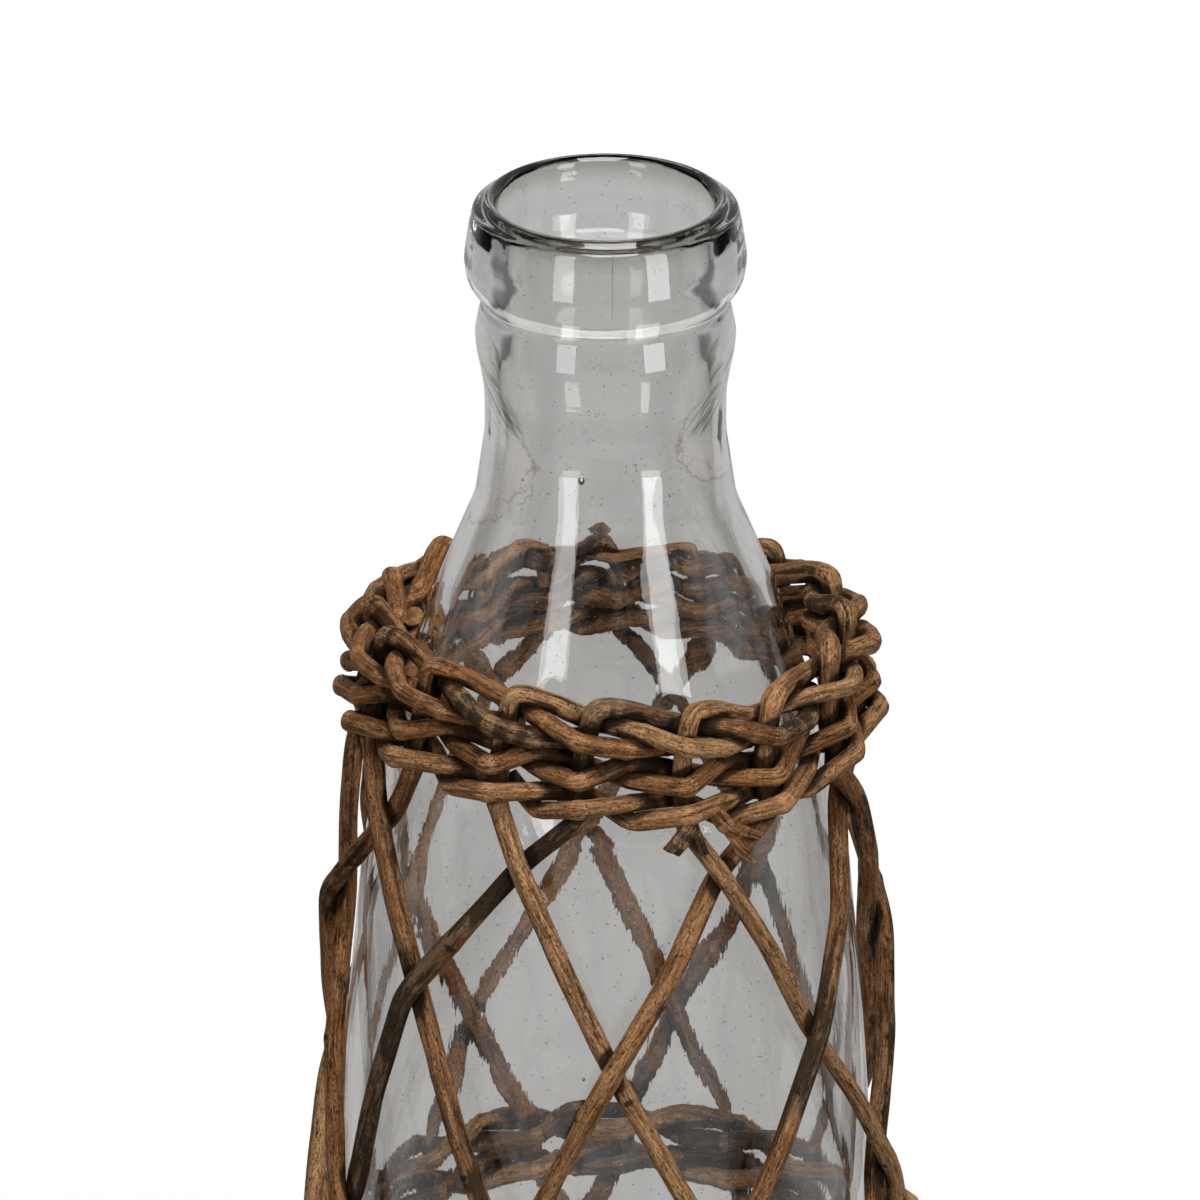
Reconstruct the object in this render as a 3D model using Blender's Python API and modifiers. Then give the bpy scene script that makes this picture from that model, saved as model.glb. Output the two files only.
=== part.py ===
import math

import bmesh
import bpy
import numpy as np
from mathutils import Vector

# Wicker carafe: a thick glass bottle held in an open basket of bent rods.
# Metres, +Z up, standing on z = 0 with the bottle's axis on Z. Turn 0 faces -Y.

# Room left between pieces that touch, more of it where rods cross at a slant, and how far
# a cutter runs past its work
SEAT_GAP = 0.0003
SLANT_GAP = 0.0006
CUT_OVERRUN = 0.004

# Rods
STAKE_RADIUS = 0.0022
WEAVER_RADIUS = 0.0021
BASE_WEAVER_RADIUS = 0.0016
BASE_STICK_RADIUS = 0.0020
STAKE_COUNT = 16
FIRST_STAKE_DEGREES = -27.5

# Bottle: depths are measured down from the rim
RIM_HEIGHT = 0.345
MOUTH_RADIUS = 0.0245
LIP_RADIUS = 0.0018
RING_RADIUS = 0.0324
RING_DEPTH = 0.0245
GROOVE_RADIUS = 0.0283
BEAD_RADIUS = 0.0299
BEAD_DEPTH = 0.0325
NECK_RADIUS = 0.0277
NECK_TOP_DEPTH = 0.0490
NECK_FOOT_DEPTH = 0.0575
BODY_RADIUS = 0.0620
BODY_DEPTH = 0.2400
NECK_WALL = 0.0043
BODY_WALL = 0.0040
HEEL_RADIUS = 0.0150
STAND_RADIUS = 0.0450
PUNT_HEIGHT = 0.0110
BOTTLE_STEPS = 32

# Ring outline: share of the ring's depth, share of the way from groove to ring radius
RING_SHARES = ((0.10, 0.50), (0.30, 0.74), (0.60, 1.00), (0.80, 0.82), (0.93, 0.30))
# Shoulder outline: share of the drop from the neck's foot to the full body, share of the swell
SHOULDER_SHARES = ((0.09, 0.07), (0.15, 0.20), (0.21, 0.33), (0.29, 0.47), (0.36, 0.59),
                   (0.44, 0.72), (0.59, 0.84), (0.80, 0.94))
# Inside outline of the mouth: share of the ring's depth, share of the neck's bore
BORE_SHARES = ((0.62, 1.04), (1.05, 0.98))
SHOULDER_INNER_SHARES = SHOULDER_SHARES[1::2]
# Push-up under the bottle: share of the standing ring's radius, share of the push-up's height
PUNT_SHARES = ((0.70, 0.60), (0.35, 0.93))

# Bands of pairing, as heights of their rows on the stakes
COLLAR_ROWS = (0.2195, 0.2255)
WAIST_ROWS = (0.0725, 0.0815)
FOOT_ROWS = (0.0250, 0.0340)

# Crossing rows of the lattice, from the top
CROSSING_HEIGHTS = (0.2025, 0.1580, 0.1130, 0.0530)
CROSSING_RISE = 0.0450
RIGHT_STAKE_OVER = (True, False, True, True)
# Hand-made unevenness: shares of the stake pitch for places round the bottle, of a rod's
# width for the collar's rise and fall along its way round, and of the crossing rise
BAND_TURN_SHARES = (0.06, -0.04, 0.02, -0.01, 0.10, 0.02, -0.06, 0.05,
                    -0.03, 0.06, -0.08, 0.03, 0.04, -0.05, -0.08, -0.10)
COLLAR_RISE_SHARES = (0.31, -0.06, -0.50, -0.90, -0.25, 0.20, 0.25, 0.05,
                      -0.20, -0.15, 0.05, 0.20, 0.10, 0.25, 0.50, 0.52)
CROSSING_TURN_SHARES = (
    (-0.13, -0.12, 0.00, 0.08, -0.06, 0.05, 0.07, 0.04),
    (-0.23, 0.06, 0.02, 0.08, -0.06, 0.10, -0.22, -0.30),
    (-0.12, 0.05, 0.08, -0.06, 0.04, 0.06, -0.08, -0.14),
    (0.04, -0.05, 0.03, 0.06, -0.04, 0.05, -0.06, 0.02))
CROSSING_RISE_SHARES = (
    (0.00, -0.05, 0.02, 0.04, -0.03, 0.02, 0.05, 0.03),
    (-0.16, -0.04, 0.05, -0.05, 0.06, 0.02, 0.18, 0.17),
    (-0.05, 0.04, 0.03, -0.04, 0.05, -0.02, 0.06, -0.03),
    (0.03, -0.02, 0.04, -0.03, 0.02, 0.03, -0.04, 0.02))

# Rolled border: each stake's end, as shares of the stake pitch to the right, of a rod's
# width outwards from the stake line and of a rod's width above the upper collar row. It bends
# over behind the next stake, passes in front of the one after and ends behind the third.
BORDER_SHARES = (
    (0.08, -0.10, 2.60), (0.15, -0.14, 3.08), (0.28, -0.37, 3.34), (0.42, -0.64, 3.44),
    (0.52, -0.80, 3.44), (0.62, -1.00, 3.24), (0.80, -1.18, 2.76), (1.02, -1.22, 2.40),
    (1.25, -0.97, 2.26), (1.38, -0.55, 2.30), (1.48, -0.22, 2.56), (1.62, 0.10, 2.95),
    (1.78, 0.50, 2.68), (2.00, 1.04, 2.06), (2.25, 0.92, 1.90), (2.48, 0.74, 1.86),
    (2.60, 0.30, 1.80), (2.95, -1.05, 1.32), (3.12, -1.20, 1.30))

# Woven base
BASE_CUT = 0.0005
BASE_DOME = 0.0020
STAKE_END_RADIUS = 0.0385
OUTER_ROW_RADIUS = 0.0480
INNER_ROW_RADIUS = 0.0340
STICK_FAN_RADIUS = 0.0245
HEEL_BEND_SHARES = ((0.60, 0.00), (0.86, 0.12), (0.97, 0.45))
STICKS_PER_LAYER = 4

# Colours
GLASS_COLOUR = (0.86, 0.90, 0.88, 1.0)
WILLOW_COLOUR = (0.26, 0.155, 0.085, 1.0)
STICK_COLOUR = (0.30, 0.19, 0.11, 1.0)

PITCH = 2 * math.pi / STAKE_COUNT
STAKE_STEP = 2 * STAKE_RADIUS + SEAT_GAP
WEAVER_STEP = 2 * WEAVER_RADIUS + SLANT_GAP
BASE_WEAVER_STEP = 2 * BASE_WEAVER_RADIUS + SLANT_GAP
STICK_STEP = 2 * BASE_STICK_RADIUS + SEAT_GAP


# How far a weaver's kink stands off the rod it rounds, so that its straight runs to the
# crossings, half a pitch away on each side, keep their seat on that rod
def kink_offset(rod_radius, weaver_radius, half_run):
    reach = rod_radius + weaver_radius + SLANT_GAP
    return reach * half_run / math.sqrt(half_run ** 2 - reach ** 2)


# A place round the bottle: turn in stake pitches, then radius and height
def place(turn, radius, height):
    angle = math.radians(FIRST_STAKE_DEGREES) + turn * PITCH
    return Vector((radius * math.sin(angle), -radius * math.cos(angle), height))


STAND_KINK = kink_offset(STAKE_RADIUS, BASE_WEAVER_RADIUS, OUTER_ROW_RADIUS * math.sin(PITCH / 2))
STAKE_LEVEL = STAND_KINK + BASE_WEAVER_RADIUS - BASE_CUT
STICK_LEVEL = STAKE_LEVEL + BASE_DOME
BOTTLE_FOOT = STAKE_LEVEL + STAND_KINK + BASE_WEAVER_RADIUS + SEAT_GAP
STICK_REACH = OUTER_ROW_RADIUS - BASE_WEAVER_STEP / 2 - BASE_WEAVER_RADIUS - SEAT_GAP


# Outside of the bottle from the lip down to the centre of the punt, as radius and height
def outer_outline():
    points = []
    lip_centre = MOUTH_RADIUS + LIP_RADIUS
    for step in range(3):
        angle = math.pi / 2 - step * math.pi / 4
        points.append((lip_centre + LIP_RADIUS * math.cos(angle),
                       RIM_HEIGHT - LIP_RADIUS + LIP_RADIUS * math.sin(angle)))
    for depth_share, swell_share in RING_SHARES:
        radius = GROOVE_RADIUS + swell_share * (RING_RADIUS - GROOVE_RADIUS)
        points.append((radius, RIM_HEIGHT - depth_share * RING_DEPTH))
    points.append((GROOVE_RADIUS, RIM_HEIGHT - RING_DEPTH))
    for step in range(4):
        way = step / 3
        radius = NECK_RADIUS + (BEAD_RADIUS - NECK_RADIUS) * (1 + math.cos(math.pi * way)) / 2
        points.append((radius, RIM_HEIGHT - BEAD_DEPTH - way * (NECK_TOP_DEPTH - BEAD_DEPTH)))
    points.append((NECK_RADIUS, RIM_HEIGHT - NECK_FOOT_DEPTH))
    for drop_share, swell_share in SHOULDER_SHARES:
        points.append((NECK_RADIUS + swell_share * (BODY_RADIUS - NECK_RADIUS),
                       RIM_HEIGHT - NECK_FOOT_DEPTH - drop_share * (BODY_DEPTH - NECK_FOOT_DEPTH)))
    points.append((BODY_RADIUS, RIM_HEIGHT - BODY_DEPTH))
    for step in range(5):
        angle = step * math.pi / 8
        points.append((BODY_RADIUS - HEEL_RADIUS + HEEL_RADIUS * math.cos(angle),
                       BOTTLE_FOOT + HEEL_RADIUS - HEEL_RADIUS * math.sin(angle)))
    points.append((STAND_RADIUS, BOTTLE_FOOT))
    for radius_share, rise_share in PUNT_SHARES:
        points.append((STAND_RADIUS * radius_share, BOTTLE_FOOT + PUNT_HEIGHT * rise_share))
    points.append((0, BOTTLE_FOOT + PUNT_HEIGHT))
    return points


# Inside of the bottle from the centre of its floor up to the lip
def inner_outline():
    floor = BOTTLE_FOOT + BODY_WALL
    heel = HEEL_RADIUS - BODY_WALL
    inner_body = BODY_RADIUS - BODY_WALL
    inner_neck = NECK_RADIUS - NECK_WALL
    points = [(0, floor + PUNT_HEIGHT)]
    for radius_share, rise_share in reversed(PUNT_SHARES):
        points.append((STAND_RADIUS * radius_share, floor + PUNT_HEIGHT * rise_share))
    points.append((STAND_RADIUS, floor))
    for step in range(3):
        angle = math.pi / 2 - step * math.pi / 4
        points.append((inner_body - heel + heel * math.cos(angle), floor + heel - heel * math.sin(angle)))
    points.append((inner_body, RIM_HEIGHT - BODY_DEPTH))
    for drop_share, swell_share in reversed(SHOULDER_INNER_SHARES):
        points.append((inner_neck + swell_share * (inner_body - inner_neck),
                       RIM_HEIGHT - NECK_FOOT_DEPTH - drop_share * (BODY_DEPTH - NECK_FOOT_DEPTH)))
    points.append((inner_neck, RIM_HEIGHT - NECK_FOOT_DEPTH))
    points.append((inner_neck, RIM_HEIGHT - NECK_TOP_DEPTH))
    for depth_share, bore_share in reversed(BORE_SHARES):
        points.append((inner_neck * bore_share, RIM_HEIGHT - depth_share * RING_DEPTH))
    points.append((MOUTH_RADIUS, RIM_HEIGHT - LIP_RADIUS))
    return points


OUTER_OUTLINE = outer_outline()
OUTLINE_HEIGHTS = [height for radius, height in reversed(OUTER_OUTLINE)]
OUTLINE_RADII = [radius for radius, height in reversed(OUTER_OUTLINE)]


# Radius of the glass at a height above its standing ring
def glass_radius(height):
    standing = OUTLINE_HEIGHTS.index(BOTTLE_FOOT)
    return float(np.interp(height, OUTLINE_HEIGHTS[standing:], OUTLINE_RADII[standing:]))


# Radius of the line that the stakes keep in a band: the glass, then one weaver
def stake_line(height):
    half_run = (glass_radius(height) + WEAVER_STEP + STAKE_STEP) * math.sin(PITCH / 2)
    kink = kink_offset(STAKE_RADIUS, WEAVER_RADIUS, half_run)
    return glass_radius(height) + SEAT_GAP + WEAVER_RADIUS + kink


# Radius of a stake at a crossing, lying on the glass or over its neighbour
def crossing_radius(height, over):
    return glass_radius(height) + SEAT_GAP + STAKE_RADIUS + (STAKE_STEP if over else 0)


# Turn of the stake that stands at a numbered place of a band
def band_turn(place_number):
    return place_number + BAND_TURN_SHARES[place_number % STAKE_COUNT % len(BAND_TURN_SHARES)]


# How far the collar stands above its own level at a turn
def collar_rise(turn):
    whole = math.floor(turn)
    start = COLLAR_RISE_SHARES[whole % STAKE_COUNT % len(COLLAR_RISE_SHARES)]
    end = COLLAR_RISE_SHARES[(whole + 1) % STAKE_COUNT % len(COLLAR_RISE_SHARES)]
    return (start + (turn - whole) * (end - start)) * STAKE_STEP


# A place in the collar or its border, which follows the glass in and out as it rises and falls
def collar_place(turn, radius, height):
    rise = collar_rise(turn)
    swell = glass_radius(COLLAR_ROWS[-1] + rise) - glass_radius(COLLAR_ROWS[-1])
    return place(turn, radius + swell, height + rise)


# Turn and height of the crossing of a row that lies nearest to a turn
def crossing_place(row, turn):
    slot = int(math.floor(turn)) % STAKE_COUNT // 2 % len(CROSSING_TURN_SHARES[row])
    height = CROSSING_HEIGHTS[row] + CROSSING_RISE_SHARES[row][slot] * CROSSING_RISE
    return turn + CROSSING_TURN_SHARES[row][slot], height


# Centre line of one stake from its end under the bottle up to its cut end in the border.
# Even stakes lean right on their way down and odd ones left, and they take turns to be on top.
def stake_path(number):
    lean = 1 if number % 2 == 0 else -1
    foot = number + lean * len(CROSSING_HEIGHTS)
    waist = number + lean * (len(CROSSING_HEIGHTS) - 1)
    foot_turn = band_turn(foot)
    foot_radius = stake_line(FOOT_ROWS[0])
    points = [place(foot_turn, STAKE_END_RADIUS, STAKE_LEVEL)]
    for reach_share, rise_share in HEEL_BEND_SHARES:
        points.append(place(foot_turn, STAKE_END_RADIUS + reach_share * (foot_radius - STAKE_END_RADIUS),
                            STAKE_LEVEL + rise_share * (FOOT_ROWS[0] - STAKE_LEVEL)))
    for height in FOOT_ROWS:
        points.append(place(foot_turn, stake_line(height), height))
    for row in reversed(range(len(CROSSING_HEIGHTS))):
        turn, height = crossing_place(row, number + lean * (row + 0.5))
        over = RIGHT_STAKE_OVER[row] == (lean == 1)
        points.append(place(turn, crossing_radius(height, over), height))
        if row == len(CROSSING_HEIGHTS) - 1:
            for band_height in WAIST_ROWS:
                points.append(place(band_turn(waist), stake_line(band_height), band_height))
        elif row > 0:
            next_turn, next_height = crossing_place(row - 1, number + lean * (row - 0.5))
            middle = (height + next_height) / 2
            radius = crossing_radius(middle, False) + STAKE_STEP / 2
            points.append(place((turn + next_turn) / 2, radius, middle))
    points.append(collar_place(band_turn(number), stake_line(COLLAR_ROWS[0]), COLLAR_ROWS[0] - STAKE_STEP))
    for height in COLLAR_ROWS:
        points.append(collar_place(band_turn(number), stake_line(height), height))
    line = stake_line(COLLAR_ROWS[-1])
    for right_share, out_share, up_share in BORDER_SHARES:
        whole = math.floor(right_share)
        start, end = band_turn(number + whole), band_turn(number + whole + 1)
        turn = start + (right_share - whole) * (end - start)
        points.append(collar_place(turn, line + out_share * STAKE_STEP,
                                   COLLAR_ROWS[-1] + up_share * STAKE_STEP))
    return points


# Centre line of one of the two weavers of a band's row. It kinks outside one stake and inside
# the next; between them the weaver going in lies above the one coming out.
def weaver_path(rows, row, strand):
    points = []
    put = collar_place if rows == COLLAR_ROWS else place
    middle = sum(rows) / len(rows)
    levels = [middle + (level - len(rows) + 0.5) * WEAVER_STEP for level in range(2 * len(rows))]
    line = stake_line(rows[row])
    half_run = line * math.sin(PITCH / 2)
    kink = kink_offset(STAKE_RADIUS, WEAVER_RADIUS, half_run)
    end_turn = SEAT_GAP / (line * PITCH)
    for step in range(STAKE_COUNT + 1):
        stake = strand + row + step
        side = 1 if step % 2 else -1
        turn = band_turn(stake)
        if step == 0:
            turn += end_turn
        if step == STAKE_COUNT:
            turn -= end_turn
        points.append(put(turn, line + side * kink, rows[row]))
        if step < STAKE_COUNT:
            level = levels[2 * row + (1 if side == 1 else 0)]
            points.append(put((band_turn(stake) + band_turn(stake + 1)) / 2, line, level))
    return points


# Centre line of one of the two weavers of a row in the base, passing under and over its spokes
def base_weaver_path(radius, level, spoke_radius, spoke_turn, strand):
    points = []
    half_run = radius * math.sin(PITCH / 2)
    kink = kink_offset(spoke_radius, BASE_WEAVER_RADIUS, half_run)
    end_turn = SEAT_GAP / (radius * PITCH)
    for step in range(STAKE_COUNT + 1):
        spoke = strand + step
        side = 1 if step % 2 == 0 else -1
        turn = spoke_turn(spoke)
        if step == 0:
            turn += end_turn
        if step == STAKE_COUNT:
            turn -= end_turn
        points.append(place(turn, radius, level + side * kink))
        if step < STAKE_COUNT:
            middle = (spoke_turn(spoke) + spoke_turn(spoke + 1)) / 2
            points.append(place(middle, radius + side * BASE_WEAVER_STEP / 2, level))
    return points


# Centre line of a base stick: parallel to its layer in the cross, then fanned to even turns
def stick_path(layer, number):
    quarter = STAKE_COUNT / 4
    across = (number - (STICKS_PER_LAYER - 1) / 2) * STICK_STEP
    fan = number - (STICKS_PER_LAYER - 1) / 2
    axis = place(layer * quarter, 1, 0)
    side = place((layer + 1) * quarter, 1, 0)
    cross_reach = STICKS_PER_LAYER / 2 * STICK_STEP
    cross_level = STICK_LEVEL + (layer - 0.5) * STICK_STEP
    right = [axis * cross_reach + side * across + Vector((0, 0, cross_level)),
             place(layer * quarter + fan, STICK_FAN_RADIUS, STICK_LEVEL),
             place(layer * quarter + fan, STICK_REACH, STICK_LEVEL)]
    left = [-axis * cross_reach + side * across + Vector((0, 0, cross_level)),
            place((layer + 2) * quarter - fan, STICK_FAN_RADIUS, STICK_LEVEL),
            place((layer + 2) * quarter - fan, STICK_REACH, STICK_LEVEL)]
    return list(reversed(left)) + right


def make_material(name, colour, roughness, transmission):
    material = bpy.data.materials.new(name)
    material.use_nodes = True
    shader = material.node_tree.nodes["Principled BSDF"]
    shader.inputs["Base Color"].default_value = colour
    shader.inputs["Roughness"].default_value = roughness
    shader.inputs["Metallic"].default_value = 0
    shader.inputs["Transmission Weight"].default_value = transmission
    material.diffuse_color = colour
    return material


def make_rod(name, points, radius, material, collection):
    curve = bpy.data.curves.new(name, "CURVE")
    curve.dimensions = "3D"
    curve.bevel_depth = radius
    curve.bevel_resolution = 1
    curve.use_fill_caps = True
    spline = curve.splines.new("POLY")
    spline.points.add(len(points) - 1)
    for spline_point, point in zip(spline.points, points):
        spline_point.co = (*point, 1)
    curve.materials.append(material)
    rod = bpy.data.objects.new(name, curve)
    collection.objects.link(rod)
    return rod


def make_bottle(material, collection):
    outline = inner_outline() + OUTER_OUTLINE
    mesh = bpy.data.meshes.new("glass_bottle")
    shape = bmesh.new()
    corners = [shape.verts.new((radius, 0, height)) for radius, height in outline]
    for upper, lower in zip(corners, corners[1:]):
        shape.edges.new((upper, lower))
    shape.to_mesh(mesh)
    shape.free()
    mesh.materials.append(material)
    bottle = bpy.data.objects.new("glass_bottle", mesh)
    collection.objects.link(bottle)
    screw = bottle.modifiers.new("Turn", "SCREW")
    screw.axis = "Z"
    screw.steps = BOTTLE_STEPS
    screw.render_steps = BOTTLE_STEPS
    screw.use_merge_vertices = True
    screw.merge_threshold = 0.00001
    screw.use_smooth_shade = True
    return bottle


# The weaver that the basket stands on becomes a mesh and is cut level with the ground
def cut_level(rod, cutter, collection):
    graph = bpy.context.evaluated_depsgraph_get()
    mesh = bpy.data.meshes.new_from_object(rod.evaluated_get(graph))
    shape = bmesh.new()
    shape.from_mesh(mesh)
    bmesh.ops.remove_doubles(shape, verts=shape.verts, dist=SEAT_GAP / 100)
    shape.to_mesh(mesh)
    shape.free()
    name = rod.name
    matrix = rod.matrix_world.copy()
    curve = rod.data
    bpy.data.objects.remove(rod)
    bpy.data.curves.remove(curve)
    solid = bpy.data.objects.new(name, mesh)
    solid.matrix_world = matrix
    collection.objects.link(solid)
    cut = solid.modifiers.new("Level", "BOOLEAN")
    cut.operation = "DIFFERENCE"
    cut.object = cutter
    cut.solver = "EXACT"
    return solid


def main():
    for old in list(bpy.data.objects):
        bpy.data.objects.remove(old)
    parts = bpy.data.collections.new("wicker_carafe")
    cutters = bpy.data.collections.new("cutters")
    bpy.context.scene.collection.children.link(parts)
    bpy.context.scene.collection.children.link(cutters)
    glass = make_material("glass", GLASS_COLOUR, 0.03, 1.0)
    willow = make_material("willow", WILLOW_COLOUR, 0.55, 0)
    stick = make_material("base_stick", STICK_COLOUR, 0.6, 0)

    make_bottle(glass, parts)
    for number in range(STAKE_COUNT):
        make_rod(f"stake_{number + 1:02d}", stake_path(number), STAKE_RADIUS, willow, parts)
    for band, rows in (("collar", COLLAR_ROWS), ("waist", WAIST_ROWS), ("foot", FOOT_ROWS)):
        for row in range(len(rows)):
            for strand in range(2):
                name = f"{band}_row_{row + 1}_weaver_{strand + 1}"
                make_rod(name, weaver_path(rows, row, strand), WEAVER_RADIUS, willow, parts)
    for layer in range(2):
        for number in range(STICKS_PER_LAYER):
            name = f"base_stick_{layer * STICKS_PER_LAYER + number + 1}"
            make_rod(name, stick_path(layer, number), BASE_STICK_RADIUS, stick, parts)

    bpy.ops.mesh.primitive_cube_add(size=1)
    ground = bpy.context.object
    ground.name = "ground_cutter"
    width = 2 * (OUTER_ROW_RADIUS + CUT_OVERRUN)
    ground.scale = (width, width, CUT_OVERRUN)
    ground.location = (0, 0, -CUT_OVERRUN / 2)
    ground.hide_render = True
    ground.display_type = "WIRE"
    for collection in list(ground.users_collection):
        collection.objects.unlink(ground)
    cutters.objects.link(ground)
    bpy.context.view_layer.update()

    for strand in range(2):
        path = base_weaver_path(INNER_ROW_RADIUS, STICK_LEVEL, BASE_STICK_RADIUS,
                                lambda spoke: spoke + 0.5, strand)
        make_rod(f"base_inner_weaver_{strand + 1}", path, BASE_WEAVER_RADIUS, willow, parts)
        path = base_weaver_path(OUTER_ROW_RADIUS, STAKE_LEVEL, STAKE_RADIUS, band_turn, strand)
        rod = make_rod(f"base_outer_weaver_{strand + 1}", path, BASE_WEAVER_RADIUS, willow, parts)
        cut_level(rod, ground, parts)


main()
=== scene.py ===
import math

import bpy
import numpy as np
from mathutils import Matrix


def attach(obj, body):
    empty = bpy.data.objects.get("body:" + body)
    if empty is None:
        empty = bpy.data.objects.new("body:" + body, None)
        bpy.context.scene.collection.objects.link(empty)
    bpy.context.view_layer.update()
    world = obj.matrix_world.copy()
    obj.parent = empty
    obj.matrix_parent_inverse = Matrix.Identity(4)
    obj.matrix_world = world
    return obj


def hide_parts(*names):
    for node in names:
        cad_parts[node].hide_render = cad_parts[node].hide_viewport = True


# Wicker carafe: a heavy clear glass bottle in an open basket of bent willow rods.
# Metres, +Z up, the bottle's axis on Z. Turn 0 faces the camera, which looks along +Y.

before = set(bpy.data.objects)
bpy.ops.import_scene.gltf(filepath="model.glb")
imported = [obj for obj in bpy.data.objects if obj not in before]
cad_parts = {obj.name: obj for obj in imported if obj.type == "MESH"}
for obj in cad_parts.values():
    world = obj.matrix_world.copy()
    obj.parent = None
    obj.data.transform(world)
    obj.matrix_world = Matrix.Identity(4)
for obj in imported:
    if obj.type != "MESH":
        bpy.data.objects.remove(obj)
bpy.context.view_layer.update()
print("frame: " + str(len(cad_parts)) + " nodes")


# One value or vector in a material's nodes. Python's operators add Math nodes to it.
class Flow:
    def __init__(self, tree, socket=None):
        self.tree = tree
        self.socket = socket

    # Adds a node: its settings come first, then the values or links of its sockets
    def node(self, kind, settings=None, sockets=None, output=0):
        made = self.tree.nodes.new(kind)
        for name, value in (settings or {}).items():
            setattr(made, name, value)
        for name, value in (sockets or {}).items():
            if isinstance(value, Flow):
                self.tree.links.new(value.socket, made.inputs[name])
            else:
                made.inputs[name].default_value = value
        return Flow(self.tree, made.outputs[output])

    def maths(self, operation, *values):
        return self.node("ShaderNodeMath", {"operation": operation}, dict(enumerate(values)))

    def __add__(self, other):
        return self.maths("ADD", self, other)

    def __radd__(self, other):
        return self.maths("ADD", other, self)

    def __sub__(self, other):
        return self.maths("SUBTRACT", self, other)

    def __rsub__(self, other):
        return self.maths("SUBTRACT", other, self)

    def __mul__(self, other):
        return self.maths("MULTIPLY", self, other)

    def __rmul__(self, other):
        return self.maths("MULTIPLY", other, self)

    def __truediv__(self, other):
        return self.maths("DIVIDE", self, other)

    def size(self):
        return self.maths("ABSOLUTE", self)

    # 0 below low, 1 above high, smooth between
    def step(self, low, high):
        return self.node("ShaderNodeMapRange", {"interpolation_type": "SMOOTHSTEP"},
                         {"Value": self, "From Min": low, "From Max": high})

    # Colours: this value is how far the mix goes from one colour to the other
    def mix(self, first, second):
        return self.node("ShaderNodeMix", {"data_type": "RGBA"},
                         {0: self, 6: first, 7: second}, 2)

    # Vectors: this vector * factors + move
    def stretch(self, factors, move=(0, 0, 0)):
        return self.node("ShaderNodeVectorMath", {"operation": "MULTIPLY_ADD"},
                         {0: self, 1: factors, 2: move})

    def noise(self, scale, detail=2.0, roughness=0.5, distortion=0.0):
        return self.node("ShaderNodeTexNoise", {},
                         {"Vector": self, "Scale": scale, "Detail": detail,
                          "Roughness": roughness, "Distortion": distortion})

    # Distance to the nearest of scattered points
    def cells(self):
        return self.node("ShaderNodeTexVoronoi", {}, {"Vector": self, "Scale": 1.0})

    # Another output of this value's node, by name or number
    def beside(self, output):
        return Flow(self.tree, self.socket.node.outputs[output])


# A new material: its flow, its Principled shader and its output
def newMaterial(name):
    material = bpy.data.materials.new(name)
    material.use_nodes = True
    tree = material.node_tree
    return material, Flow(tree), tree.nodes["Principled BSDF"], tree.nodes["Material Output"]


def grey(tone):
    return (tone, tone, tone, 1)


# Links a value to a socket of a shader or of the output
def feed(flow, shader, socket):
    flow.tree.links.new(flow.socket, shader.inputs[socket])


# Smooth noise along a line: random heights at even knots, joined by cosine steps
def waver(places, wavelength, seed):
    knotCount, firstKnot = 4096, 7
    knots = np.random.default_rng(seed).uniform(-1, 1, knotCount)
    spot = np.asarray(places) / wavelength + firstKnot
    low = np.floor(spot).astype(int)
    share = (1 - np.cos(math.pi * (spot - low))) / 2
    return knots[low % knotCount] * (1 - share) + knots[(low + 1) % knotCount] * share


# Smooth noise round a turn: a sum of sines with a whole number of waves
def swell(angles, waves, seed):
    source = np.random.default_rng(seed)
    total = 0 * angles
    for count in waves:
        height = source.uniform(0.4, 1)
        total = total + height * np.sin(count * angles + source.uniform(0, 2 * math.pi))
    return total / len(waves)


# Length of a line from its start to each of its points
def runOf(points):
    steps = np.linalg.norm(np.diff(points, axis=0), axis=1)
    return np.concatenate([[0], np.cumsum(steps)])


# Even steps along a broken line: each point is found at its share of the line's length
def evenly(points, spacing):
    points = np.asarray(points, float)
    lengths = runOf(points)
    count = max(8, int(round(lengths[-1] / spacing)))
    places = np.linspace(0, lengths[-1], count + 1)
    return np.stack([np.interp(places, lengths, column) for column in points.T], 1)


# Rounds a line's corners: each point becomes the bell-weighted mean of those within three
# widths of it, with the line carried on straight past its ends
def rounded(points, width, spacing):
    reach = max(1, int(math.ceil(3 * width / spacing)))
    bell = np.exp(-0.5 * (np.arange(-reach, reach + 1) * spacing / width) ** 2)
    bell /= bell.sum()
    ahead = points[:1] * 2 - points[reach:0:-1]
    after = points[-1:] * 2 - points[-2:-reach - 2:-1]
    longer = np.concatenate([ahead, points, after])
    return np.stack([np.convolve(column, bell, "valid") for column in longer.T], 1)


# Directions along a path and two across it that don't spin: any pair across the path,
# turned back by the sum of the small twists between neighbours
def carriedFrames(path):
    along = np.gradient(path, axis=0)
    along /= np.linalg.norm(along, axis=1, keepdims=True)
    helper = np.where(np.abs(along[:, 2:]) < 0.8, [[0, 0, 1.0]], [[1.0, 0, 0]])
    side = np.cross(helper, along)
    side /= np.linalg.norm(side, axis=1, keepdims=True)
    lift = np.cross(along, side)
    axis = np.cross(along[:-1], along[1:])
    cosine = np.sum(along[:-1] * along[1:], 1, keepdims=True)
    moved = side[:-1] * cosine + np.cross(axis, side[:-1])
    moved = moved + axis * np.sum(axis * side[:-1], 1, keepdims=True) / (1 + cosine)
    twist = np.arctan2(np.sum(moved * lift[1:], 1), np.sum(moved * side[1:], 1))
    spin = np.concatenate([[0], np.cumsum(twist)])[:, None]
    cosine, sine = np.cos(spin), np.sin(spin)
    return along, side * cosine + lift * sine, lift * cosine - side * sine


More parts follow.
